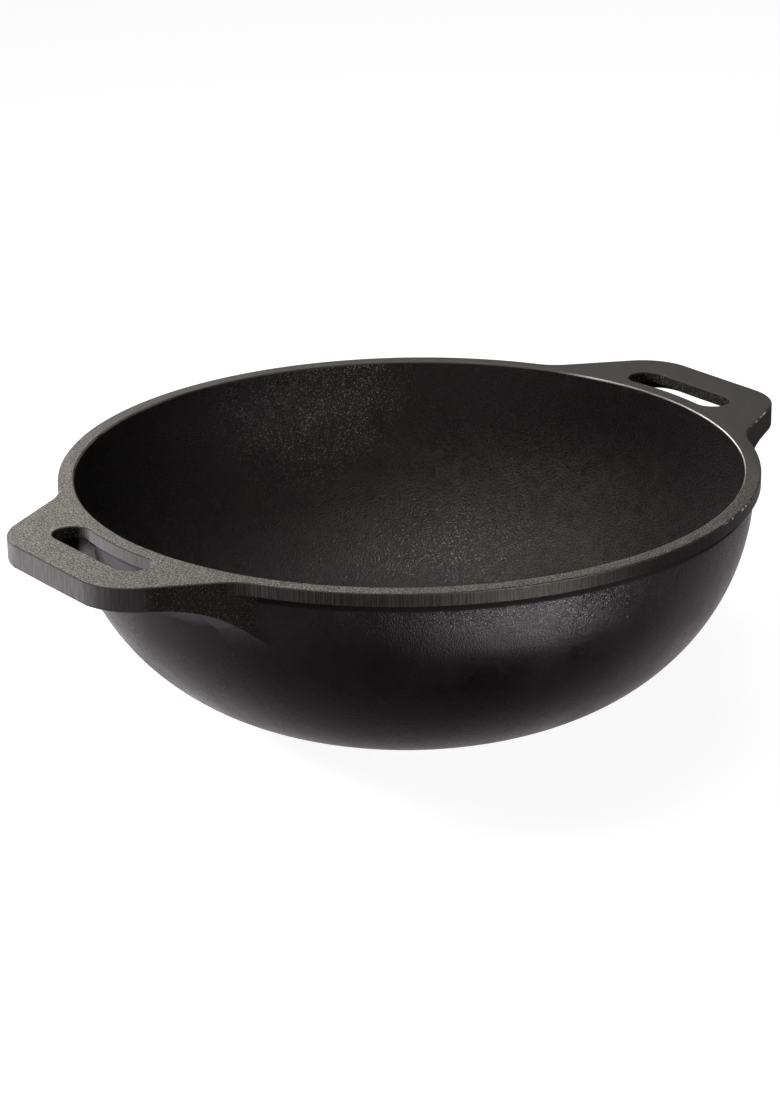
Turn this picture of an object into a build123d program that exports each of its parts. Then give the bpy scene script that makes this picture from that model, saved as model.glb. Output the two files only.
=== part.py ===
# Cast iron kadai: a deep round bowl with a flat base, a flat-topped rim band and two slotted handles.
# The real pan is poured in one piece. It is cut here into the regions that a founder would name:
# the bowl, the band round its lip, and the two handles, which meet face to face.
# Millimetres. The origin is the centre of the flat base, +Z is up and the handles lie along X.
import os
from math import hypot, radians, sqrt, tan

from build123d import *

# Bowl
bowl_height = 88.3
wall_outer_radius = 127.6
wall_thickness = 3.6
base_flat_radius = 44.3
base_thickness = 4.5
lip_edge_radius = 0.8

# Rim band, standing proud of the wall with a step below it
band_projection = 2.4
band_height = 4.8

# Handles, seen from above
handle_reach = 27.7
tip_width = 67.5
flank_angle = 29.0
tip_corner_radius = 22.2
root_fillet_radius = 21.2
web_root_inset = 3.5

# Handles, seen from the side
plate_thickness = 4.2
tip_thickness = 8.8
underside_slope = 3.0
web_fillet_radius = 24.0

# Flange round each handle's edge, with a recess inside it that is open below
tip_flange_width = 6.0
side_flange_width = 9.0

# Finger slots
bar_width = 14.8
slot_length = 53.4
slot_end_radius = 8.4
slot_corner_clearance = 0.07

# Cuts run past the faces that they cut by this much
overrun = 2.0

rim_outer_radius = wall_outer_radius + band_projection
wall_inner_radius = wall_outer_radius - wall_thickness
band_floor = bowl_height - band_height
tip_radius = rim_outer_radius + handle_reach
slot_centre_radius = tip_radius - bar_width - slot_end_radius

# Each end of a slot is rounded on the bowl's side by almost the largest circle that fits there
slot_end_reach = hypot(slot_centre_radius, slot_length / 2 - slot_end_radius) + slot_end_radius
slot_corner_radius = (slot_end_reach - rim_outer_radius) / 2 - slot_corner_clearance


def wall_outline():
    """Outer line of the bowl: along the flat base, up the curved side and up to the band's height."""
    Line((0, 0), (base_flat_radius, 0))
    TangentArc((base_flat_radius, 0), (wall_outer_radius, band_floor), tangent=(1, 0))


def rimmed_bowl_section():
    """Half section of the bowl and its band as one solid body, with no hollow."""
    with BuildSketch() as section:
        with BuildLine():
            wall_outline()
            Polyline(
                (wall_outer_radius, band_floor),
                (rim_outer_radius, band_floor),
                (rim_outer_radius, bowl_height),
                (0, bowl_height),
                (0, 0),
            )
        make_face()
    return section.sketch


def handle_plan(ring_radius, tip_inset=0.0, side_inset=0.0):
    """Plan of one handle from the bowl's axis outwards, with roots that run smoothly onto a ring.

    The insets bring its tip and its sides inwards, to draw the recess inside the flange.
    """
    flank = Vector(1, 0).rotate(Axis.Z, 180 - flank_angle)
    outward = Vector(0, 1).rotate(Axis.Z, -flank_angle)
    tip_edge = tip_radius - tip_inset
    flank_offset = Vector(tip_radius, tip_width / 2).dot(outward) - side_inset
    tip_corner = Vector(tip_edge, (flank_offset - outward.X * tip_edge) / outward.Y)
    root_centre_line = tip_corner + outward * (root_fillet_radius + side_inset)
    root_centre_radius = ring_radius + root_fillet_radius
    half_chord = sqrt(
        root_centre_line.dot(flank) ** 2 - root_centre_line.length**2 + root_centre_radius**2
    )
    flank_length = -root_centre_line.dot(flank) - half_chord
    flank_end = tip_corner + flank * flank_length
    root_centre = root_centre_line + flank * flank_length
    root_end = root_centre * ((ring_radius - side_inset) / root_centre_radius)
    with BuildSketch() as plan:
        with BuildLine():
            Line((0, 0), (tip_edge, 0))
            Polyline((tip_edge, 0), tip_corner, flank_end)
            TangentArc(flank_end, root_end, tangent=flank)
            Line(root_end, (0, 0))
        make_face()
        mirror(about=Plane.XZ)
        fillet(plan.vertices().group_by(Axis.X)[-1], tip_corner_radius - tip_inset)
    return plan.sketch


# Bowl: one shell of revolution, upright at the lip, with the lip's inner edge eased
with BuildPart() as bowl:
    with BuildSketch(Plane.XZ):
        with BuildLine():
            wall_outline()
            Polyline(
                (wall_outer_radius, band_floor),
                (wall_outer_radius, bowl_height),
                (wall_inner_radius, bowl_height),
                (wall_inner_radius, band_floor),
            )
            TangentArc(
                (base_flat_radius, base_thickness), (wall_inner_radius, band_floor), tangent=(1, 0)
            )
            Polyline((base_flat_radius, base_thickness), (0, base_thickness), (0, 0))
        make_face()
        lip = vertices().group_by(Axis.Y)[-1].sort_by(Axis.X)[0]
        fillet(lip, lip_edge_radius)
    revolve(axis=Axis.Z)
bowl.part.label = "bowl"

# Rim band: a flat-topped ring round the outside of the lip
with BuildPart() as rim_band:
    with BuildSketch(Plane.XY.offset(band_floor)):
        Circle(rim_outer_radius)
        Circle(wall_outer_radius, mode=Mode.SUBTRACT)
    extrude(amount=band_height)
rim_band.part.label = "rim_band"

# Handle: a flat plate flush with the rim's top, a flange round its edge that runs down onto the wall in
# one fillet at each root, a recess inside the flange, and a finger slot whose inner side is the band
plate_plan = handle_plan(rim_outer_radius)
web_plan = handle_plan(wall_outer_radius - web_root_inset)
recess_plan = handle_plan(wall_outer_radius - web_root_inset, tip_flange_width, side_flange_width)
body_section = rimmed_bowl_section()
plate_root = tip_radius - 2 * handle_reach
tip_underside = bowl_height - tip_thickness
root_underside = tip_underside - 2 * handle_reach * tan(radians(underside_slope))
with BuildPart() as right_handle:
    with BuildSketch(Plane.XY.offset(band_floor)):
        add(plate_plan)
        Circle(rim_outer_radius, mode=Mode.SUBTRACT)
    extrude(amount=band_height)
    with BuildSketch(Plane.XY):
        add(web_plan)
    extrude(amount=band_floor)
    with BuildSketch(Plane.XZ):
        add(body_section)
        with BuildLine():
            Polyline(
                (plate_root, bowl_height),
                (tip_radius + handle_reach, bowl_height),
                (tip_radius + handle_reach, tip_underside),
                (tip_radius, tip_underside),
                (plate_root, root_underside),
                close=True,
            )
        make_face()
        web_corner = vertices().sort_by_distance((wall_outer_radius, root_underside))[0]
        fillet(web_corner, web_fillet_radius)
        add(body_section, mode=Mode.SUBTRACT)
    revolve(axis=Axis.Z, mode=Mode.INTERSECT)
    with BuildSketch(Plane.XY):
        add(recess_plan)
    extrude(amount=bowl_height - plate_thickness, mode=Mode.SUBTRACT)
    with BuildSketch(Plane.XY) as slot_plan:
        with Locations((slot_centre_radius, 0)):
            SlotOverall(slot_length, 2 * slot_end_radius, rotation=90)
        Circle(rim_outer_radius, mode=Mode.SUBTRACT)
        fillet(slot_plan.vertices().group_by(Axis.X)[0], slot_corner_radius)
    extrude(amount=bowl_height + overrun, mode=Mode.SUBTRACT)
right_handle.part.label = "right_handle"

# The other handle is the mirror image across the bowl
with BuildPart() as left_handle:
    add(right_handle.part)
    mirror(about=Plane.YZ, mode=Mode.REPLACE)
left_handle.part.label = "left_handle"

os.makedirs("parts", exist_ok=True)
export_step(bowl.part, "parts/bowl.step")
export_step(rim_band.part, "parts/rim_band.step")
export_step(right_handle.part, "parts/right_handle.step")
export_step(left_handle.part, "parts/left_handle.step")
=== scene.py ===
from math import acos, atan2, cos, hypot, pi, radians, sin, sqrt, tan

import bmesh
import bpy
from mathutils import Euler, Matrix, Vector


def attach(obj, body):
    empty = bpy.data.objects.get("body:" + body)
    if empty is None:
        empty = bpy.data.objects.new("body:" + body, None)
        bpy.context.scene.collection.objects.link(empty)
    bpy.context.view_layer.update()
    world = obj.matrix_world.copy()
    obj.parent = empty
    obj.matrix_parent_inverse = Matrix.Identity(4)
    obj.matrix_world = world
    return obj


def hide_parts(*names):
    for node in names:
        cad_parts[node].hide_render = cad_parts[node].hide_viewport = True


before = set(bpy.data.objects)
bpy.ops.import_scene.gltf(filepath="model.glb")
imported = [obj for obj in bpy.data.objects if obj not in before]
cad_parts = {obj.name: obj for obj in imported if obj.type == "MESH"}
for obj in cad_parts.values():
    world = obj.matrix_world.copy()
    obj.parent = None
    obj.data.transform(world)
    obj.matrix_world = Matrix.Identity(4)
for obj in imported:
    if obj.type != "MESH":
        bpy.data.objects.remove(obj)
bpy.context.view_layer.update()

mm = 0.001
upAxis = (0, 0, 1)
bowlAxis = (0, 0, 0)
nearby = 0.1 * mm  # what lies this close to a level counts as on it
mergeGap = 0.02 * mm


def clearSelection():
    if bpy.context.object and bpy.context.object.mode != "OBJECT":
        bpy.ops.object.mode_set(mode="OBJECT")
    bpy.ops.object.select_all(action="DESELECT")


def pickOnly(piece):
    clearSelection()
    piece.select_set(True)
    bpy.context.view_layer.objects.active = piece


def editOnly(piece):
    pickOnly(piece)
    bpy.ops.object.mode_set(mode="EDIT")
    bpy.ops.mesh.select_mode(type="VERT")


def leaveEdit():
    bpy.ops.object.mode_set(mode="OBJECT")


def rename(piece, name):
    piece.name = name
    piece.data.name = name


def newPiece(name):  # names the primitive that was just added and brings its object back to the origin
    piece = bpy.context.object
    rename(piece, name)
    bpy.ops.object.transform_apply(location=True, rotation=True, scale=True)
    editOnly(piece)
    return piece


def startPoint(name, x, y, z):  # one vertex to draw an outline from
    clearSelection()
    bpy.ops.mesh.primitive_plane_add(size=2 * mm, location=(x, y, z))
    piece = newPiece(name)
    bpy.ops.mesh.select_all(action="SELECT")
    bpy.ops.mesh.merge(type="CENTER")
    return piece


def drawTo(x, y, z, steps=1):  # straight on from the selected vertex
    mesh = bmesh.from_edit_mesh(bpy.context.object.data)
    here = [vert.co.copy() for vert in mesh.verts if vert.select][0]
    move = (Vector((x, y, z)) - here) / steps
    for _ in range(steps):
        bpy.ops.mesh.extrude_vertices_move(TRANSFORM_OT_translate={"value": move})


def arcTo(centre, angle, steps, axis=upAxis):  # a positive angle turns left, seen against the axis
    bpy.ops.mesh.spin(steps=steps, angle=-angle, center=centre, axis=axis)


def selectVerts(test):
    bpy.ops.mesh.select_mode(type="VERT")
    bpy.ops.mesh.select_all(action="DESELECT")
    mesh = bmesh.from_edit_mesh(bpy.context.object.data)
    for vert in mesh.verts:
        vert.select = bool(test(vert.co))
    mesh.select_flush_mode()
    bmesh.update_edit_mesh(bpy.context.object.data)


def selectEdges(test):
    bpy.ops.mesh.select_mode(type="EDGE")
    bpy.ops.mesh.select_all(action="DESELECT")
    mesh = bmesh.from_edit_mesh(bpy.context.object.data)
    mesh.normal_update()
    count = 0
    for edge in mesh.edges:
        if len(edge.link_faces) == 2 and test(edge):
            edge.select = True
            count += 1
    mesh.select_flush_mode()
    bmesh.update_edit_mesh(bpy.context.object.data)
    return count


def roundEdges(width, segments):
    bpy.ops.mesh.bevel(offset=width, segments=segments, profile=0.5, clamp_overlap=False)


def paintFaces(piece, coats):  # each coat is a material and a test of a face's centre and normal
    piece.data.materials.clear()
    for material, _ in coats:
        piece.data.materials.append(material)
    editOnly(piece)
    for index, (_, test) in enumerate(coats):
        bpy.ops.mesh.select_mode(type="FACE")
        bpy.ops.mesh.select_all(action="DESELECT")
        mesh = bmesh.from_edit_mesh(piece.data)
        for face in mesh.faces:
            face.select = bool(test(face.calc_center_median(), face.normal))
        bmesh.update_edit_mesh(piece.data)
        piece.active_material_index = index
        bpy.ops.object.material_slot_assign()
    leaveEdit()


def mirrorAcross(axisIndex):  # the other half of an outline
    flip = [1, 1, 1]
    flip[axisIndex] = -1
    bpy.ops.mesh.select_all(action="SELECT")
    bpy.ops.mesh.duplicate()
    bpy.ops.transform.resize(value=flip, center_override=bowlAxis)
    bpy.ops.mesh.select_all(action="SELECT")
    bpy.ops.mesh.remove_doubles(threshold=mergeGap)


def outwards():
    bpy.ops.mesh.select_all(action="SELECT")
    bpy.ops.mesh.normals_make_consistent(inside=False)


def outlineToSolid(rise):  # fills a closed outline and raises it
    bpy.ops.mesh.select_all(action="SELECT")
    bpy.ops.mesh.edge_face_add()
    bpy.ops.mesh.extrude_region_move(TRANSFORM_OT_translate={"value": (0, 0, rise)})
    outwards()


def finishWith(piece, kind, **settings):  # one modifier, set and applied
    pickOnly(piece)
    bpy.ops.object.modifier_add(type=kind)
    modifier = piece.modifiers[-1]
    for key, value in settings.items():
        setattr(modifier, key, value)
    bpy.ops.object.modifier_apply(modifier=modifier.name)


def combine(piece, tool, operation, keepTool=False):
    finishWith(piece, "BOOLEAN", operation=operation, solver="EXACT", object=tool)
    if not keepTool:
        bpy.data.objects.remove(tool)


def copyOf(piece, name):
    pickOnly(piece)
    bpy.ops.object.duplicate()
    twin = bpy.context.object
    rename(twin, name)
    return twin


def mirroredCopy(piece, name):  # the same shape on the bowl's other side
    twin = copyOf(piece, name)
    editOnly(twin)
    bpy.ops.mesh.select_all(action="SELECT")
    bpy.ops.transform.resize(value=(-1, 1, 1), center_override=bowlAxis)
    outwards()
    leaveEdit()
    return twin


def mergeClose(piece, distance):
    editOnly(piece)
    bpy.ops.mesh.select_all(action="SELECT")
    bpy.ops.mesh.remove_doubles(threshold=distance)
    bpy.ops.mesh.dissolve_degenerate(threshold=distance / 4)
    outwards()
    leaveEdit()


def smoothShade(piece, angle):
    pickOnly(piece)
    bpy.ops.object.shade_smooth_by_angle(angle=angle)
    finishWith(piece, "WEIGHTED_NORMAL", keep_sharp=True, weight=60)


def reportPiece(piece):
    mesh = bmesh.new()
    mesh.from_mesh(piece.data)
    openEdges = sum(1 for edge in mesh.edges if len(edge.link_faces) != 2)
    volume = round(mesh.calc_volume(signed=True) * 1e6, 2)
    print(piece.name, "faces", len(mesh.faces), "open edges", openEdges, "volume cm3", volume)
    mesh.free()


pan = {
    "height": 88.3 * mm,
    "wallRadius": 127.6 * mm,
    "wallThickness": 3.6 * mm,
    "baseRadius": 44.3 * mm,
    "baseThickness": 4.5 * mm,
    "bandHeight": 4.8 * mm,
    "rimRadius": 130.0 * mm,
    "roundSteps": 256,
    "smoothAngle": radians(35),
}
bandFloor = pan["height"] - pan["bandHeight"]
sideCurve = pan["wallRadius"] - pan["baseRadius"]  # radius of the side's arc, seen in section
innerRadius = pan["wallRadius"] - pan["wallThickness"]


def wallRadiusAt(z):  # outside of the bowl at a height
    if z >= sideCurve:
        return pan["wallRadius"]
    return pan["baseRadius"] + sqrt(sideCurve ** 2 - (sideCurve - z) ** 2)


bowlShape = {
    "outerSteps": 44,
    "innerSteps": 44,
    "floorRings": 6,
    "lipRound": 0.8 * mm,
    "lipSteps": 4,
}


def ringTo(radius, z, state):  # one more ring of the wall, from the ring that is selected
    bpy.ops.mesh.extrude_edges_move(TRANSFORM_OT_translate={"value": (0, 0, z - state["z"])})
    scale = radius / state["radius"]
    bpy.ops.transform.resize(value=(scale, scale, 1), center_override=(0, 0, z))
    state["radius"], state["z"] = radius, z


def makeBowl():  # from the middle of the base up the outside, over the lip and down the inside
    shape = bowlShape
    clearSelection()
    first = pan["baseRadius"] / shape["floorRings"]
    bpy.ops.mesh.primitive_circle_add(
        vertices=pan["roundSteps"], radius=first, fill_type="TRIFAN", location=(0, 0, 0))
    piece = newPiece("castBowl")
    selectVerts(lambda co: hypot(co.x, co.y) > first / 2)
    state = {"radius": first, "z": 0}
    for ring in range(2, shape["floorRings"] + 1):
        ringTo(first * ring, 0, state)
    for step in range(1, shape["outerSteps"] + 1):
        turn = radians(90) * step / shape["outerSteps"]
        ringTo(pan["baseRadius"] + sideCurve * sin(turn), sideCurve * (1 - cos(turn)), state)
    ringTo(pan["wallRadius"], bandFloor, state)
    ringTo(pan["wallRadius"], pan["height"], state)
    lip = shape["lipRound"]
    for step in range(shape["lipSteps"] + 1):
        turn = radians(90) * step / shape["lipSteps"]
        ringTo(innerRadius + lip * (1 - sin(turn)), pan["height"] - lip * (1 - cos(turn)), state)
    innerCurve = innerRadius - pan["baseRadius"]
    innerMiddle = pan["baseThickness"] + innerCurve
    ringTo(innerRadius, innerMiddle, state)
    for step in range(1, shape["innerSteps"] + 1):
        turn = radians(90) * (1 - step / shape["innerSteps"])
        ringTo(pan["baseRadius"] + innerCurve * sin(turn), innerMiddle - innerCurve * cos(turn), state)
    for ring in range(shape["floorRings"] - 1, 0, -1):
        ringTo(first * ring, pan["baseThickness"], state)
    bpy.ops.mesh.extrude_edges_move(TRANSFORM_OT_translate={"value": (0, 0, 0)})
    bpy.ops.mesh.merge(type="CENTER")
    outwards()
    leaveEdit()
    return piece


bowl = makeBowl()
print("bowl made")


handleShape = {
    "reach": 27.7 * mm,
    "tipWidth": 67.5 * mm,
    "flankAngle": radians(29.0),
    "tipRound": 22.2 * mm,
    "rootRound": 21.2 * mm,
    "edgeSteps": 3,
    "tipSteps": 14,
    "flankSteps": 6,
    "rootSteps": 16,
    "tipThickness": 8.8 * mm,
    "undersideSlope": radians(3.0),
    "webRound": 24.0 * mm,
    "seamAngle": radians(27.42),
    "topEdge": 0.55 * mm,
    "lowEdge": 0.5 * mm,
    "edgeSegments": 3,
    "plateThickness": 4.2 * mm,
    "tipFlange": 6.0 * mm,
    "sideFlange": 9.0 * mm,
    "pocketInset": 3.5 * mm,
    "pocketRound": 1.6 * mm,
    "pocketSegments": 4,
    "mergeGap": 0.12 * mm,
}
tipRadius = pan["rimRadius"] + handleShape["reach"]
flankAngle = handleShape["flankAngle"]
flankWay = Vector((-cos(flankAngle), sin(flankAngle)))
flankOut = Vector((sin(flankAngle), cos(flankAngle)))


def traceHalfHandle(name, ring, z, tipInset=0.0, sideInset=0.0):  # half an outline, from the tip to a ring
    shape = handleShape
    tipEdge = tipRadius - tipInset
    tipRound = shape["tipRound"] - tipInset
    rootRound = shape["rootRound"] + sideInset
    reach = Vector((tipRadius, shape["tipWidth"] / 2)).dot(flankOut) - sideInset
    corner = Vector((tipEdge, (reach - flankOut.x * tipEdge) / flankOut.y))
    tipTurn = radians(90) - flankAngle
    tangentRun = tipRound * tan(tipTurn / 2)
    piece = startPoint(name, tipEdge, 0, z)
    drawTo(tipEdge, corner.y - tangentRun, z, steps=shape["edgeSteps"])
    arcTo((tipEdge - tipRound, corner.y - tangentRun, z), tipTurn, shape["tipSteps"])
    onRoot = corner + flankOut * rootRound
    along = onRoot.dot(flankWay)
    fullRadius = ring + shape["rootRound"]
    run = -along - sqrt(along ** 2 - onRoot.length_squared + fullRadius ** 2)
    flankEnd = corner + flankWay * run
    rootCentre = onRoot + flankWay * run
    rootEnd = rootCentre * ((ring - sideInset) / fullRadius)
    drawTo(flankEnd.x, flankEnd.y, z, steps=shape["flankSteps"])
    startTurn = atan2(flankEnd.y - rootCentre.y, flankEnd.x - rootCentre.x)
    endTurn = atan2(rootEnd.y - rootCentre.y, rootEnd.x - rootCentre.x)
    arcTo((rootCentre.x, rootCentre.y, z), endTurn - startTurn, shape["rootSteps"])
    return piece, rootEnd


slotShape = {
    "barWidth": 14.8 * mm,
    "length": 53.4 * mm,
    "endRound": 8.4 * mm,
    "cornerRound": 7.0 * mm,
    "sideSteps": 2,
    "endSteps": 8,
    "cornerSteps": 22,
    "innerSteps": 10,
    "overrun": 5 * mm,
}
slotMiddle = tipRadius - slotShape["barWidth"] - slotShape["endRound"]
slotEndY = slotShape["length"] / 2 - slotShape["endRound"]


def slotTool(name):  # a finger slot whose inner side follows the band
    shape = slotShape
    low, high = bandFloor - shape["overrun"], pan["height"] + shape["overrun"]
    end, corner = shape["endRound"], shape["cornerRound"]
    middle = Vector((slotMiddle, slotEndY))
    ring = pan["rimRadius"] + corner  # the corner's centre lies on this circle round the bowl's axis
    across = end - corner  # and this far from the end's centre
    cosine = (ring ** 2 + middle.length_squared - across ** 2) / (2 * ring * middle.length)
    centreTurn = atan2(middle.y, middle.x) + acos(cosine)
    centre = Vector((cos(centreTurn), sin(centreTurn))) * ring
    cornerTurn = atan2(centre.y - middle.y, centre.x - middle.x)
    piece = startPoint(name, slotMiddle + end, 0, low)
    drawTo(slotMiddle + end, slotEndY, low, steps=shape["sideSteps"])
    arcTo((middle.x, middle.y, low), cornerTurn, shape["endSteps"])
    arcTo((centre.x, centre.y, low), pi + centreTurn - cornerTurn, shape["cornerSteps"])
    arcTo((0, 0, low), -centreTurn, shape["innerSteps"])
    mirrorAcross(1)
    outlineToSolid(high - low)
    leaveEdit()
    return piece


slabShape = {"ringSteps": 44, "mouthDepth": 40 * mm}


def makeSlab():  # a plate with the outline of the whole rim, seen from above
    piece, rootEnd = traceHalfHandle("slab", pan["rimRadius"], bandFloor)
    rootTurn = atan2(rootEnd.y, rootEnd.x)
    arcTo((0, 0, bandFloor), radians(90) - rootTurn, slabShape["ringSteps"])
    mirrorAcross(1)
    mirrorAcross(0)
    outlineToSolid(pan["bandHeight"])
    leaveEdit()
    clearSelection()
    bpy.ops.mesh.primitive_cylinder_add(
        vertices=pan["roundSteps"], radius=pan["wallRadius"], depth=slabShape["mouthDepth"],
        location=(0, 0, pan["height"]))
    mouth = newPiece("mouthTool")
    leaveEdit()
    combine(piece, mouth, "DIFFERENCE")
    slot = slotTool("slotTool")
    otherSlot = mirroredCopy(slot, "otherSlotTool")
    combine(piece, slot, "DIFFERENCE")
    combine(piece, otherSlot, "DIFFERENCE")
    mergeClose(piece, mergeGap)
    return piece


edgeTest = {
    "clearance": 0.5 * mm,  # of the bowl's wall
    "upright": 0.1,  # a side's normal rises by less than this
    "level": 0.9,  # and a level face's by more
    "belowBand": 0.3 * mm,
    "facesDown": -0.25,
    "steep": 0.3,
    "bend": radians(35),
}


def middleOf(edge):
    return (edge.verts[0].co + edge.verts[1].co) / 2


def isTopEdge(edge):  # between the flat top and a side
    side, top = sorted(abs(face.normal.z) for face in edge.link_faces)
    middle = middleOf(edge)
    clear = hypot(middle.x, middle.y) > pan["wallRadius"] + edgeTest["clearance"]
    onTop = middle.z > pan["height"] - nearby
    return clear and onTop and side < edgeTest["upright"] and top > edgeTest["level"]


def isLowEdge(edge):  # between a side of the handle and its underside
    under, side = sorted(face.normal.z for face in edge.link_faces)
    middle = middleOf(edge)
    clear = hypot(middle.x, middle.y) > wallRadiusAt(middle.z) + edgeTest["clearance"]
    belowBand = middle.z < bandFloor - edgeTest["belowBand"]
    facing = under < edgeTest["facesDown"] and abs(side) < edgeTest["steep"]
    return clear and belowBand and facing and edge.calc_face_angle(0) > edgeTest["bend"]


slab = makeSlab()
editOnly(slab)
topEdges = selectEdges(isTopEdge)
roundEdges(handleShape["topEdge"], handleShape["edgeSegments"])
leaveEdit()
print("slab made, top edges rounded:", topEdges)


sectorShape = {
    "clearance": 0.05 * mm,  # the seam lies just outside the band
    "reach": 175 * mm,
    "overrun": 8 * mm,
    "arcSteps": 20,
}


def sectorTool(name):  # holds the part of the slab that belongs to one handle
    shape = sectorShape
    low, high = bandFloor - shape["overrun"], pan["height"] + shape["overrun"]
    seam, reach = handleShape["seamAngle"], shape["reach"]
    piece = startPoint(name, pan["rimRadius"] + shape["clearance"], 0, low)
    arcTo((0, 0, low), seam, shape["arcSteps"])
    drawTo(reach * cos(seam), reach * sin(seam), low)
    drawTo(reach, reach * sin(seam), low)
    drawTo(reach, 0, low)
    mirrorAcross(1)
    outlineToSolid(high - low)
    leaveEdit()
    return piece


sector = sectorTool("sectorTool")
otherSector = mirroredCopy(sector, "otherSectorTool")
rightHandle = copyOf(slab, "castRightHandle")
rimBand = slab
rename(rimBand, "castRimBand")
combine(rimBand, otherSector, "DIFFERENCE")
combine(rimBand, sector, "DIFFERENCE", keepTool=True)
combine(rightHandle, sector, "INTERSECT")
print("slab cut into the band and a handle")


webShape = {
    "levels": [level * mm for level in (83.5, 80.5, 77.5, 74.5, 71.5, 68.5, 65.5, 62.5, 59.5)],
    "hiddenDepth": 1.6 * mm,  # how far the web goes into the bowl's wall
    "arcSteps": 18,
}


def makeWeb():  # the handle's outline at each level of the wall, bridged into one block
    levels = webShape["levels"]
    layers = []
    for z in levels:
        ring = wallRadiusAt(z)
        layer, rootEnd = traceHalfHandle("webLayer", ring, z)
        inside = (ring - webShape["hiddenDepth"]) / ring
        drawTo(rootEnd.x * inside, rootEnd.y * inside, z)
        arcTo((0, 0, z), -atan2(rootEnd.y, rootEnd.x), webShape["arcSteps"])
        mirrorAcross(1)
        leaveEdit()
        layers.append(layer)
    clearSelection()
    for layer in layers:
        layer.select_set(True)
    bpy.context.view_layer.objects.active = layers[0]
    bpy.ops.object.join()
    piece = bpy.context.object
    rename(piece, "web")
    editOnly(piece)
    for upper, lower in zip(levels, levels[1:]):
        selectVerts(lambda co: abs(co.z - upper) < nearby or abs(co.z - lower) < nearby)
        bpy.ops.mesh.bridge_edge_loops()
    for end in (levels[0], levels[-1]):
        selectVerts(lambda co: abs(co.z - end) < nearby)
        bpy.ops.mesh.edge_face_add()
    outwards()
    leaveEdit()
    return piece


toolFloor = 50 * mm  # the tools under a handle reach down to here
underShape = {
    "inner": 118 * mm,
    "innerDrop": 0.8 * mm,
    "outer": 178 * mm,
    "outerSteps": 5,
    "filletSteps": 18,
    "halfTurn": radians(33.75),
    "turnSteps": 48,
}


def underTool():  # everything below the handle's underside, turned round the bowl's axis
    shape = underShape
    slope, fillet = handleShape["undersideSlope"], handleShape["webRound"]
    tipUnder = pan["height"] - handleShape["tipThickness"]
    # the fillet's centre lies a fillet radius below the underside and outside the side's arc
    arcCentre = Vector((pan["baseRadius"], sideCurve))
    lineNormal = Vector((sin(slope), -cos(slope)))
    lineWay = Vector((-cos(slope), -sin(slope)))
    onLine = Vector((tipRadius, tipUnder)) + lineNormal * fillet
    away = onLine - arcCentre
    along = away.dot(lineWay)
    run = -along - sqrt(along ** 2 - away.length_squared + (sideCurve + fillet) ** 2)
    centre = onLine + lineWay * run
    foot = centre + (arcCentre - centre).normalized() * fillet
    top = centre - lineNormal * fillet
    startTurn = atan2(foot.y - centre.y, foot.x - centre.x)
    endTurn = atan2(top.y - centre.y, top.x - centre.x)
    outer = shape["outer"]
    outerZ = tipUnder + (outer - tipRadius) * tan(slope)
    piece = startPoint("underTool", shape["inner"], 0, foot.y - shape["innerDrop"])
    drawTo(foot.x, 0, foot.y)
    # the section stands upright, so its arc turns about the Y axis
    arcTo((centre.x, 0, centre.y), startTurn - endTurn, shape["filletSteps"], axis=(0, 1, 0))
    drawTo(outer, 0, outerZ, steps=shape["outerSteps"])
    drawTo(outer, 0, toolFloor)
    drawTo(shape["inner"], 0, toolFloor)
    bpy.ops.mesh.select_all(action="SELECT")
    bpy.ops.mesh.remove_doubles(threshold=mergeGap / 2)
    bpy.ops.mesh.edge_face_add()
    # with no window this rotates the other way, so the section lands at minus half a turn
    bpy.ops.transform.rotate(value=shape["halfTurn"], orient_axis="Z", center_override=bowlAxis)
    arcTo(bowlAxis, 2 * shape["halfTurn"], shape["turnSteps"])
    outwards()
    leaveEdit()
    return piece


def pocketTool():  # the recess under the plate, inside the flange
    shape = handleShape
    ring = pan["wallRadius"] - shape["pocketInset"]
    piece, rootEnd = traceHalfHandle("pocketTool", ring, toolFloor, shape["tipFlange"], shape["sideFlange"])
    arcTo((0, 0, toolFloor), -atan2(rootEnd.y, rootEnd.x), webShape["arcSteps"])
    mirrorAcross(1)
    top = pan["height"] - shape["plateThickness"]
    outlineToSolid(top - toolFloor)
    selectEdges(lambda edge: min(vert.co.z for vert in edge.verts) > top - nearby)
    roundEdges(shape["pocketRound"], shape["pocketSegments"])
    leaveEdit()
    return piece


web = makeWeb()
combine(web, underTool(), "DIFFERENCE")
combine(rightHandle, web, "UNION")
combine(rightHandle, pocketTool(), "DIFFERENCE")
mergeClose(rightHandle, handleShape["mergeGap"])
editOnly(rightHandle)
lowEdges = selectEdges(isLowEdge)
roundEdges(handleShape["lowEdge"], handleShape["edgeSegments"])
leaveEdit()
leftHandle = mirroredCopy(rightHandle, "castLeftHandle")
print("handles made, low edges rounded:", lowEdges)


def addNode(tree, kind, values=None, **settings):
    node = tree.nodes.new(kind)
    for key, value in settings.items():
        setattr(node, key, value)
    for key, value in (values or {}).items():
        node.inputs[key].default_value = value
    return node


def reckon(tree, operation, first, second):  # of two sockets, or of a socket and a number
    node = addNode(tree, "ShaderNodeMath", operation=operation)
    for socket, value in ((node.inputs[0], first), (node.inputs[1], second)):
        if isinstance(value, (int, float)):
            socket.default_value = value
        else:
            tree.links.new(value, socket)
    return node.outputs[0]


def times(tree, first, second):
    return reckon(tree, "MULTIPLY", first, second)


def larger(tree, first, second):
    return reckon(tree, "MAXIMUM", first, second)


def spread(tree, source, low, high):  # a 0..1 grey brought to a range
    span = addNode(tree, "ShaderNodeMapRange", {"To Min": low, "To Max": high})
    tree.links.new(source, span.inputs["Value"])
    return span.outputs["Result"]


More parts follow.
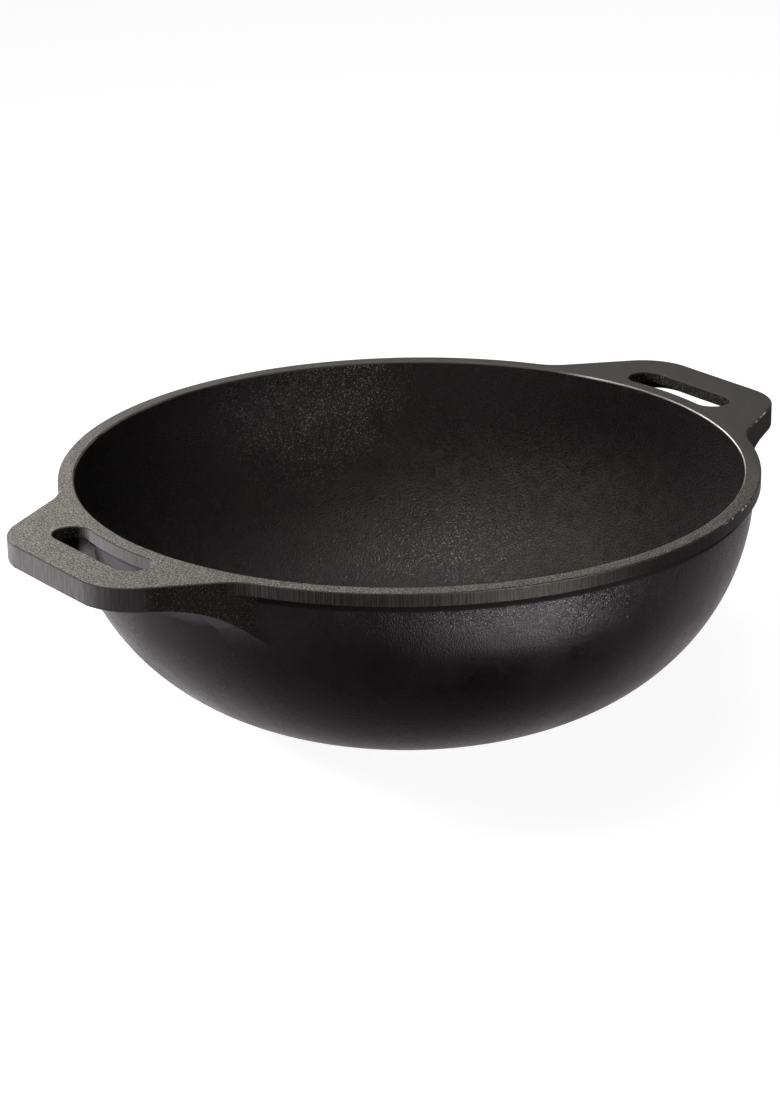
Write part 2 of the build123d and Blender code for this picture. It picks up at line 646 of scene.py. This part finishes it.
def fade(tree, source, start, full):  # 0 up to one value and 1 from the other, smoothly between
    span = addNode(
        tree, "ShaderNodeMapRange", {"From Min": start, "From Max": full}, interpolation_type="SMOOTHSTEP")
    tree.links.new(source, span.inputs["Value"])
    return span.outputs["Result"]


def between(tree, factor, first, second):  # two colours, or a colour and a socket
    mix = addNode(tree, "ShaderNodeMix", data_type="RGBA")
    tree.links.new(factor, mix.inputs[0])
    for socket, value in ((mix.inputs[6], first), (mix.inputs[7], second)):
        if isinstance(value, tuple):
            socket.default_value = (*value, 1)
        else:
            tree.links.new(value, socket)
    return mix.outputs[2]


def grain(tree, place, scale, start, full, detail=2.0, rough=0.5, stretch=None):  # soft noise, cut to 0..1
    if stretch:
        mapping = addNode(tree, "ShaderNodeMapping", {"Scale": stretch})
        tree.links.new(place, mapping.inputs["Vector"])
        place = mapping.outputs["Vector"]
    noise = addNode(tree, "ShaderNodeTexNoise", {"Scale": scale, "Detail": detail, "Roughness": rough})
    tree.links.new(place, noise.inputs["Vector"])
    return fade(tree, noise.outputs["Fac"], start, full)


def pebbles(tree, place, scale, middle, gap):  # rounded lumps of sand-cast skin, lowest in the gaps
    cells = addNode(tree, "ShaderNodeTexVoronoi", {"Scale": scale, "Smoothness": 0.6}, feature="SMOOTH_F1")
    tree.links.new(place, cells.inputs["Vector"])
    return fade(tree, cells.outputs["Distance"], gap, middle)


def roughen(tree, height, depth, under=None):  # a bump of a depth in metres, over another one
    bump = addNode(tree, "ShaderNodeBump", {"Strength": 1.0, "Distance": depth})
    tree.links.new(height, bump.inputs["Height"])
    if under:
        tree.links.new(under, bump.inputs["Normal"])
    return bump.outputs["Normal"]


def nearPlace(tree, place, spot, near, far):  # 1 within near of a spot and 0 beyond far
    away = addNode(tree, "ShaderNodeVectorMath", operation="DISTANCE")
    tree.links.new(place, away.inputs[0])
    away.inputs[1].default_value = spot
    return fade(tree, away.outputs["Value"], far, near)


def alongWay(tree, place, way):  # distance along a direction
    along = addNode(tree, "ShaderNodeVectorMath", operation="DOT_PRODUCT")
    tree.links.new(place, along.inputs[0])
    along.inputs[1].default_value = way
    return along.outputs["Value"]


def axisParts(tree, place):
    parts = addNode(tree, "ShaderNodeSeparateXYZ")
    tree.links.new(place, parts.inputs["Vector"])
    return parts.outputs


def ringDistance(tree, parts):  # distance from the bowl's axis
    plan = addNode(tree, "ShaderNodeCombineXYZ")
    tree.links.new(parts["X"], plan.inputs["X"])
    tree.links.new(parts["Y"], plan.inputs["Y"])
    length = addNode(tree, "ShaderNodeVectorMath", operation="LENGTH")
    tree.links.new(plan.outputs["Vector"], length.inputs[0])
    return length.outputs["Value"]


def seenRays(tree):  # what the camera sees, straight or through glass, and apart from it what is mirrored
    rays = addNode(tree, "ShaderNodeLightPath").outputs
    return larger(tree, rays["Is Camera Ray"], rays["Is Transmission Ray"]), rays["Is Glossy Ray"]


def newMaterial(name):
    material = bpy.data.materials.new(name)
    material.use_nodes = True
    tree = material.node_tree
    place = addNode(tree, "ShaderNodeTexCoord").outputs["Object"]
    return material, tree, place, tree.nodes["Principled BSDF"]


def finishShader(tree, shader, look, colour, rough, normal, metal=None):
    shader.inputs["Specular IOR Level"].default_value = look["specular"]
    shader.inputs["Specular Tint"].default_value = look["tint"]
    tree.links.new(colour, shader.inputs["Base Color"])
    tree.links.new(rough, shader.inputs["Roughness"])
    tree.links.new(normal, shader.inputs["Normal"])
    if metal:
        tree.links.new(metal, shader.inputs["Metallic"])


# In the looks below, a grain is its scale per metre, the noise where it starts and is full, its detail, its
# roughness and its stretch. Lumps are their scale and the distances of their middle and their gaps. A place
# is a spot, with how near it is full and how far it ends. Heights, reaches and widths say where a finish, or
# a painted light or shade, starts and where it is full, and shares how much of it shows.
insideLook = {
    "dark": (0.0034, 0.0029, 0.0029), "light": (0.0240, 0.0214, 0.0210), "brown": (0.0140, 0.0122, 0.0108),
    "rough": (0.56, 0.34), "specular": 0.28, "tint": (1.0, 0.88, 0.88, 1),
    "fine": (1400, 0.40, 0.60, 3, 0.7), "fineShare": (1.0, 0.55), "fineDepth": 0.080 * mm,
    "lumps": (1200, 0.15, 0.75), "lumpDepth": 0.085 * mm,
    "blotches": (26, 0.42, 0.66, 6, 0.6), "mottle": (190, 0.42, 0.58, 6, 0.7), "cloud": (90, 0.34, 0.60, 4),
    # painted shade: the upper inner wall is drawn darker, towards the shade colour
    "paintedShade": (0.0012, 0.0010, 0.0010), "paintedShadeHeights": (44 * mm, 74 * mm), "paintedShadeShare": 0.72,
    # painted sheen: a lighter patch round a spot on the back wall
    "paintedSheen": (0.025, 0.0222, 0.0182), "paintedSheenPlace": ((34 * mm, 102 * mm, 62 * mm), 8 * mm, 56 * mm),
    # painted glints: pale specks round a spot just below the back rim
    "paintedGlint": (0.85, 0.82, 0.77), "paintedGlints": (1500, 0.57, 0.64, 2, 0.6), "paintedGlintShare": (0.012, 0.80),
    "paintedGlintPlace": ((36 * mm, 119 * mm, 86 * mm), 2 * mm, 54 * mm), "paintedGlintSpread": (0.45, 1.0),
}


def seasonedInside():
    look = insideLook
    material, tree, place, shader = newMaterial("seasonedInside")
    fine = grain(tree, place, *look["fine"])
    lumps = pebbles(tree, place, *look["lumps"])
    blotches = grain(tree, place, *look["blotches"])
    mottle = grain(tree, place, *look["mottle"])
    cloud = grain(tree, place, *look["cloud"])
    tone = between(tree, blotches, look["dark"], look["brown"])
    tone = between(tree, mottle, tone, look["dark"])
    colour = between(tree, times(tree, fine, spread(tree, mottle, *look["fineShare"])), tone, look["light"])
    # painted shade: the inner wall darkens from the lower height up to the upper one
    upper = fade(tree, axisParts(tree, place)["Z"], *look["paintedShadeHeights"])
    colour = between(tree, times(tree, upper, look["paintedShadeShare"]), colour, look["paintedShade"])
    # painted sheen: a lighter cloudy patch round a spot on the back wall
    paintedSheen = times(tree, nearPlace(tree, place, *look["paintedSheenPlace"]), cloud)
    colour = between(tree, paintedSheen, colour, look["paintedSheen"])
    # painted glints: pale specks strewn round a spot just below the back rim
    paintedGlintArea = times(tree, nearPlace(tree, place, *look["paintedGlintPlace"]), spread(tree, cloud, *look["paintedGlintSpread"]))
    paintedGlints = times(tree, grain(tree, place, *look["paintedGlints"]), spread(tree, paintedGlintArea, *look["paintedGlintShare"]))
    colour = between(tree, paintedGlints, colour, look["paintedGlint"])
    normal = roughen(tree, lumps, look["lumpDepth"])
    normal = roughen(tree, fine, look["fineDepth"], normal)
    finishShader(tree, shader, look, colour, spread(tree, fine, *look["rough"]), normal)
    return material


outsideLook = {
    "dark": (0.0052, 0.0041, 0.0044), "light": (0.0200, 0.0166, 0.0178),
    "rough": (0.26, 0.36), "specular": 0.062, "tint": (1.0, 0.89, 0.95, 1),
    "fine": (2600, 0.38, 0.62), "fineDepth": 0.060 * mm,
    "lumps": (1900, 0.12, 0.75), "lumpDepth": 0.120 * mm,
    "blotches": (34, 0.38, 0.66, 5, 0.6),
    "calmHeights": (56 * mm, bandFloor), "calmShare": (0.35, 1.0),
    # painted highlight: pale glints round a spot below the band at the front
    "paintedStreakGlint": (0.55, 0.53, 0.48), "paintedStreakGlints": (1900, 0.55, 0.66),
    "paintedStreakPlace": ((-41 * mm, -121 * mm, 80 * mm), 12 * mm, 58 * mm),
    "paintedStreakHeights": (bandFloor - 16 * mm, bandFloor - 4 * mm),
    # painted shadow: a dark, dull line on the wall just under the band's step
    "paintedBandShadow": (0.0008, 0.0007, 0.0007), "paintedBandShadowHeights": (bandFloor - 3.8 * mm, bandFloor - 2.6 * mm),
    # painted light: a pale, dull patch on the wall behind the left handle's slot
    "paintedSlotLight": (0.120, 0.108, 0.117), "paintedSlotLightReach": (-118 * mm, -122 * mm), "paintedSlotLightWidth": (24 * mm, 17 * mm),
    "paintedSlotLightHeights": (66 * mm, 70 * mm),
}


def seasonedOutside():  # with painted glints of a highlight below the band at the front, painted shadow in a line under the band, and painted light on the wall behind the left slot
    look = outsideLook
    material, tree, place, shader = newMaterial("seasonedOutside")
    parts = axisParts(tree, place)
    fine = grain(tree, place, *look["fine"])
    lumps = pebbles(tree, place, *look["lumps"])
    blotches = grain(tree, place, *look["blotches"])
    colour = between(tree, times(tree, fine, blotches), look["dark"], look["light"])
    # painted highlight: pale glints round a spot a little below the band
    paintedStreakGlints = times(tree, grain(tree, place, *look["paintedStreakGlints"]), nearPlace(tree, place, *look["paintedStreakPlace"]))
    paintedStreakGlints = times(tree, paintedStreakGlints, fade(tree, parts["Z"], *look["paintedStreakHeights"]))
    colour = between(tree, paintedStreakGlints, colour, look["paintedStreakGlint"])
    # painted shadow: the wall turns dark and dull just under the band's step
    paintedBandShadow = fade(tree, parts["Z"], *look["paintedBandShadowHeights"])
    colour = between(tree, paintedBandShadow, colour, look["paintedBandShadow"])
    # painted light: a pale patch on the wall behind the left handle's slot
    paintedSlotLightMask = times(tree, fade(tree, parts["X"], *look["paintedSlotLightReach"]),
                  fade(tree, parts["Y"], *look["paintedSlotLightWidth"]))
    paintedSlotLightMask = times(tree, paintedSlotLightMask, fade(tree, parts["Z"], *look["paintedSlotLightHeights"]))
    colour = between(tree, paintedSlotLightMask, colour, look["paintedSlotLight"])
    rough = larger(tree, spread(tree, blotches, *look["rough"]), larger(tree, paintedBandShadow, paintedSlotLightMask))
    calm = spread(tree, fade(tree, parts["Z"], *look["calmHeights"]), *look["calmShare"])
    normal = roughen(tree, times(tree, lumps, calm), look["lumpDepth"])
    normal = roughen(tree, times(tree, fine, calm), look["fineDepth"], normal)
    finishShader(tree, shader, look, colour, rough, normal)
    return material


topLook = {
    "dark": (0.010, 0.009, 0.008), "light": (0.352, 0.326, 0.294), "pit": (0.012, 0.011, 0.010),
    "rough": (0.40, 0.62), "specular": 0.26, "tint": (1.0, 0.96, 0.91, 1),
    "fine": (1550, 0.44, 0.57, 3, 0.8), "fineDepth": 0.14 * mm,
    "coarse": (900, 0.40, 0.62, 2), "coarseShare": (0.80, 1.0),
    "patches": (120, 0.35, 0.70, 3), "patchShare": 0.12, "pits": (1100, 0.65, 0.71),
    # painted shade: the tops turn to a plain darker colour towards the right and the back
    "paintedTopShade": (0.079, 0.073, 0.067), "paintedTopShadeWay": (0.8, 0.6, 0), "paintedTopShadeReach": (-20 * mm, 50 * mm),
    "paintedTopShadeShare": 0.90,
}


def groundTop():  # sandy ground iron, drawn darker and plainer towards the right handle and the back as painted shade
    look = topLook
    material, tree, place, shader = newMaterial("groundTop")
    fine = grain(tree, place, *look["fine"])
    sand = times(tree, fine, spread(tree, grain(tree, place, *look["coarse"]), *look["coarseShare"]))
    colour = between(tree, sand, look["dark"], look["light"])
    patches = times(tree, grain(tree, place, *look["patches"]), look["patchShare"])
    colour = between(tree, patches, colour, look["dark"])
    colour = between(tree, grain(tree, place, *look["pits"]), colour, look["pit"])
    # painted shade: darker and plainer towards the right and the back
    paintedTopShade = fade(tree, alongWay(tree, place, look["paintedTopShadeWay"]), *look["paintedTopShadeReach"])
    colour = between(tree, times(tree, paintedTopShade, look["paintedTopShadeShare"]), colour, look["paintedTopShade"])
    normal = roughen(tree, fine, look["fineDepth"])
    finishShader(tree, shader, look, colour, spread(tree, fine, *look["rough"]), normal)
    return material


sideLook = {
    "rough": (0.38, 0.50), "castRough": (0.60, 0.0), "specular": 0.036, "tint": (1.0, 0.90, 0.86, 1),
    "fine": (2200, 0.38, 0.62), "fineDepth": 0.045 * mm,
    "castDark": (0.0080, 0.0068, 0.0060), "castLight": (0.0270, 0.0232, 0.0204),
    "lumps": (2000, 0.12, 0.75), "lumpDepth": 0.100 * mm,
    # painted glints: pale specks on the pebbled sides
    "paintedGlint": (0.160, 0.140, 0.108), "paintedGlints": (2000, 0.58, 0.68, 2, 0.6),
    "bandDark": (0.0520, 0.0458, 0.0453), "bandLight": (0.132, 0.116, 0.115),
    "bandReach": (132.9 * mm, 130.4 * mm), "bandHeights": (bandFloor - 0.6 * mm, bandFloor + 0.2 * mm),
    "strokes": (1.0, 0.34, 0.70, 2, 0.5, (1900, 1900, 45)), "strokeDepth": 0.05 * mm,
    # painted shade: the band's side turns darker towards the right
    "paintedBandShade": (0.030, 0.027, 0.027), "paintedShadeWay": (0.79, -0.61, 0), "paintedShadeReach": (30 * mm, 95 * mm),
    "paintedShadeShare": 0.8,
    # painted light: ground sides drawn pale on the left handle's tip and in its slot only
    "paintedLitTipDark": (0.114, 0.105, 0.109), "paintedLitTipLight": (0.146, 0.135, 0.140),
    "smears": (1.0, 0.36, 0.66, 3, 0.5, (900, 900, 120)), "paintedLitTipReach": (141.5 * mm, 149.5 * mm),
    "paintedLitSlotReach": (100 * mm, 110 * mm), "paintedLitSlotWidth": (31 * mm, 29 * mm), "paintedLitSlotSide": (24 * mm, 17 * mm),
}


def castSide():  # upright sides: ground on the band with painted shade towards the right, ground and drawn pale as painted light on the left tip and in its slot, else pebbled with painted glints
    look = sideLook
    material, tree, place, shader = newMaterial("castSide")
    parts = axisParts(tree, place)
    reach = times(tree, parts["X"], -1.0)
    width = reckon(tree, "ABSOLUTE", parts["Y"], 0.0)
    strokes = grain(tree, place, *look["strokes"])
    fine = grain(tree, place, *look["fine"])
    # painted light: the pale ground finish goes only on the left handle's tip and in its slot
    slot = times(tree, fade(tree, reach, *look["paintedLitSlotReach"]), fade(tree, parts["Y"], *look["paintedLitSlotSide"]))
    slot = times(tree, fade(tree, width, *look["paintedLitSlotWidth"]), slot)
    paintedLitSides = larger(tree, fade(tree, reach, *look["paintedLitTipReach"]), slot)
    band = times(tree, fade(tree, ringDistance(tree, parts), *look["bandReach"]),
                 fade(tree, parts["Z"], *look["bandHeights"]))
    groundBandAndLitSides = larger(tree, paintedLitSides, band)
    castColour = between(tree, fine, look["castDark"], look["castLight"])
    # painted glints: pale specks over the pebbled sides
    castColour = between(tree, grain(tree, place, *look["paintedGlints"]), castColour, look["paintedGlint"])
    bandColour = between(tree, strokes, look["bandDark"], look["bandLight"])
    # painted shade: the band's side darkens towards the right
    paintedShade = fade(tree, alongWay(tree, place, look["paintedShadeWay"]), *look["paintedShadeReach"])
    bandColour = between(tree, times(tree, paintedShade, look["paintedShadeShare"]), bandColour, look["paintedBandShade"])
    paintedLitTipColour = between(tree, grain(tree, place, *look["smears"]), look["paintedLitTipDark"], look["paintedLitTipLight"])
    colour = between(tree, paintedLitSides, between(tree, band, castColour, bandColour), paintedLitTipColour)
    cast = times(tree, pebbles(tree, place, *look["lumps"]), reckon(tree, "SUBTRACT", 1.0, groundBandAndLitSides))
    normal = roughen(tree, cast, look["lumpDepth"])
    normal = roughen(tree, times(tree, strokes, band), look["strokeDepth"], normal)
    normal = roughen(tree, fine, look["fineDepth"], normal)
    rough = larger(tree, spread(tree, fine, *look["rough"]), spread(tree, groundBandAndLitSides, *look["castRough"]))
    finishShader(tree, shader, look, colour, rough, normal)
    return material


edgeLook = {
    "iron": (0.050, 0.046, 0.042), "bare": (0.85, 0.83, 0.79),
    "rough": (0.55, 0.34), "specular": 0.2, "tint": (1.0, 0.96, 0.91, 1),
    "fine": (1300, 0.30, 0.70), "fineDepth": 0.04 * mm,
    "lipWear": (30, 0.34, 0.46, 4, 0.6), "lipLine": (innerRadius + 0.35 * mm, innerRadius + 0.25 * mm),
    "rightWay": (0.79, -0.61, 0), "rightReach": (58 * mm, 88 * mm),
    "leftReach": (-88 * mm, -108 * mm), "leftShare": 0.35,
    "chips": (260, 0.50, 0.56, 3),
    "chippedPlaces": [((136 * mm, -46 * mm, 88 * mm), 7 * mm, 14 * mm),
                      ((60 * mm, -113 * mm, 88 * mm), 10 * mm, 20 * mm)],
}


def edgeIron(name, wear):  # a narrow rounded edge, with a function that says where its coating is rubbed off
    look = edgeLook
    material, tree, place, shader = newMaterial(name)
    bare = wear(tree, place, look)
    colour = between(tree, bare, look["iron"], look["bare"])
    normal = roughen(tree, grain(tree, place, *look["fine"]), look["fineDepth"])
    finishShader(tree, shader, look, colour, spread(tree, bare, *look["rough"]), normal, metal=bare)
    return material


def lipWear(tree, place, look):  # a bare hairline along the inner edge of the rim, most of all on the right
    across = alongWay(tree, place, look["rightWay"])
    right = fade(tree, across, *look["rightReach"])
    left = fade(tree, across, *look["leftReach"])
    sides = larger(tree, right, times(tree, left, look["leftShare"]))
    line = fade(tree, ringDistance(tree, axisParts(tree, place)), *look["lipLine"])
    return times(tree, times(tree, grain(tree, place, *look["lipWear"]), sides), line)


def chipWear(tree, place, look):  # small bare chips at two places of the outer edges
    near = 0.0
    for chippedPlace in look["chippedPlaces"]:
        near = larger(tree, nearPlace(tree, place, *chippedPlace), near)
    return times(tree, grain(tree, place, *look["chips"]), near)


insideIron, outsideIron, topIron, sideIron = seasonedInside(), seasonedOutside(), groundTop(), castSide()
lipIron, chippedIron = edgeIron("wornLip", lipWear), edgeIron("chippedEdge", chipWear)
print("materials made")


faceTest = {
    "topLevel": pan["height"] - 0.05 * mm,
    "edgeLevel": pan["height"] - 0.9 * mm,
    "flat": 0.95,  # a flat top's normal rises by more than this
    "tilted": 0.05,
    "steep": 0.3,
    "outside": pan["wallRadius"] + 0.3 * mm,
    "aboveBase": 2 * mm,
    "floorTilt": 0.5,
}


def isFlatTop(centre, normal):
    return normal.z > faceTest["flat"] and centre.z > faceTest["topLevel"]


def isEdge(centre, normal):
    rising = normal.z > faceTest["tilted"] and not isFlatTop(centre, normal)
    return centre.z > faceTest["edgeLevel"] and rising


def isUpright(centre, normal):
    return abs(normal.z) < faceTest["steep"] and hypot(centre.x, centre.y) > faceTest["outside"]


def facesInwards(centre, normal):
    inwards = centre.x * normal.x + centre.y * normal.y < 0
    return centre.z > faceTest["aboveBase"] and (normal.z > faceTest["floorTilt"] or inwards)


paintFaces(bowl, [
    (outsideIron, lambda centre, normal: True),
    (insideIron, facesInwards),
    (lipIron, isEdge),
    (topIron, isFlatTop),
])
for piece in (rimBand, rightHandle, leftHandle):
    paintFaces(piece, [
        (outsideIron, lambda centre, normal: True),
        (sideIron, isUpright),
        (chippedIron, isEdge),
        (topIron, isFlatTop),
    ])

for piece, node in (
        (bowl, "bowl"), (rimBand, "rim_band"), (leftHandle, "left_handle"), (rightHandle, "right_handle")):
    smoothShade(piece, pan["smoothAngle"])
    reportPiece(piece)
    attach(piece, "root")
    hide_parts(node)
print("pieces painted and placed")


photoTurn = radians(37.85)  # how far the camera stands round the pan
rightWay = (cos(photoTurn), -sin(photoTurn), 0)  # to the camera's right
awayWay = (sin(photoTurn), cos(photoTurn), 0)
# towards the near left corner
cornerWay = tuple(-0.7 * (right + away) for right, away in zip(rightWay, awayWay))
floorLook = {
    "size": 12.0, "drop": 0.2 * mm,  # so that it doesn't coincide with the base
    "colour": (0.36, 0.36, 0.36, 1), "rough": 0.9, "seen": 0.93,
    "seenTint": (1.0, 1.0, 1.0), "mirroredTint": (1.0, 0.90, 0.95),
    "backReach": (-0.15, -0.02), "mirrored": (0.25, 0.85),  # in front and at the back
    "zones": [  # a way across the floor, where its glow starts and is full, and the glow
        (rightWay, -0.06, -0.15, 0.68),
        (rightWay, -0.24, -0.42, 1.20),
        (rightWay, 0.10, 0.24, 0.78),
        (cornerWay, 0.13, 0.19, 1.0),
    ],
}


def paleFloor():  # plain to the camera, and a soft light-table to what mirrors it
    look = floorLook
    material, tree, place, shader = newMaterial("paleFloor")
    glow = spread(tree, fade(tree, alongWay(tree, place, awayWay), *look["backReach"]), *look["mirrored"])
    for way, start, full, level in look["zones"]:
        part = fade(tree, alongWay(tree, place, way), start, full)
        glow = reckon(tree, "ADD", glow, times(tree, part, reckon(tree, "SUBTRACT", level, glow)))
    seen, mirrored = seenRays(tree)
    glow = reckon(tree, "ADD", times(tree, glow, mirrored), times(tree, seen, look["seen"]))
    tree.links.new(glow, shader.inputs["Emission Strength"])
    tint = between(tree, seen, look["mirroredTint"], look["seenTint"])
    tree.links.new(tint, shader.inputs["Emission Color"])
    shader.inputs["Base Color"].default_value = look["colour"]
    shader.inputs["Roughness"].default_value = look["rough"]
    shader.inputs["Specular IOR Level"].default_value = 0.0
    return material


clearSelection()
bpy.ops.mesh.primitive_plane_add(size=floorLook["size"], location=(0, 0, -floorLook["drop"]))
floor = newPiece("studioFloor")
leaveEdit()
floor.data.materials.append(paleFloor())
print("floor laid")


# Each lamp has a place and an aim, in metres to the camera's right, away from it and up, a width and a depth,
# and a power. A plain lamp isn't mirrored, and a gloss lamp is only mirrored.
studioLamps = {
    "keyLamp": ((0.0, 0.20, 1.10), (0, 0, 0.05), (0.7, 0.6), 4.4, "plain"),
    "keyCard": ((-0.15, 0.15, 1.00), (0, 0, 0.05), (0.50, 0.36), 9.8, "gloss"),
    "leftLamp": ((-0.44, 0.02, 0.30), (-0.10, -0.04, 0.08), (0.20, 0.20), 4.2, "plain"),
    "streakLamp": ((0.103, -0.206, 0.029), (0.036, -0.1226, 0.080), (0.10, 0.012), 1.15, "gloss"),
    "sparkLamp": ((0.62, -0.66, 0.20), (0.0, 0.0, 0.080), (0.12, 0.14), 5.0, "gloss"),
    "cornerCard": ((-0.50, -0.78, 0.10), (-0.04, -0.12, 0.07), (0.50, 0.18), 5.0, "gloss"),
    "backCard": ((-0.80, 1.05, 0.44), (0.0, 0.0, 0.08), (0.90, 0.35), 4.2, "gloss"),
}


def studioPlace(right, away, up):
    return Vector(rightWay) * right + Vector(awayWay) * away + Vector((0, 0, up))


def softLamp(name, place, aim, size, power, kind):
    data = bpy.data.lights.new(name, "AREA")
    data.shape = "RECTANGLE"
    data.size, data.size_y = size
    data.energy = power
    lamp = bpy.data.objects.new(name, data)
    lamp.location = studioPlace(*place)
    way = studioPlace(*aim) - studioPlace(*place)
    lamp.rotation_euler = way.to_track_quat("-Z", "Y").to_euler()
    bpy.context.scene.collection.objects.link(lamp)
    lamp.visible_diffuse = kind == "plain"
    lamp.visible_glossy = kind == "gloss"
    lamp.visible_camera = False


for name, lamp in studioLamps.items():
    softLamp(name, *lamp)

airLook = {"colour": (1, 1, 1, 1), "dim": 0.03, "seen": 0.97}
world = bpy.data.worlds.new("studioAir")
bpy.context.scene.world = world
world.use_nodes = True
air = world.node_tree
background = air.nodes["Background"]
background.inputs["Color"].default_value = airLook["colour"]
airLevel = spread(air, seenRays(air)[0], airLook["dim"], airLook["seen"])
air.links.new(airLevel, background.inputs["Strength"])
print("lamps and air lit:", len(studioLamps))

photoCamera = {
    "place": (-686.08 * mm, -882.98 * mm, 484.80 * mm),
    "turn": (radians(68.8515), radians(0.9246), radians(-37.8139)),
    "lens": 103.81,
    "sensor": 36.0,
    "clipEnd": 50,
}
cameraData = bpy.data.cameras.new("photoCamera")
cameraData.lens = photoCamera["lens"]
cameraData.sensor_width = photoCamera["sensor"]
cameraData.sensor_fit = "AUTO"
cameraData.clip_end = photoCamera["clipEnd"]
camera = bpy.data.objects.new("photoCamera", cameraData)
camera.location = photoCamera["place"]
camera.rotation_euler = Euler(photoCamera["turn"], "XYZ")
bpy.context.scene.collection.objects.link(camera)
bpy.context.scene.camera = camera
bpy.context.scene.view_settings.view_transform = "Standard"
print("camera placed")
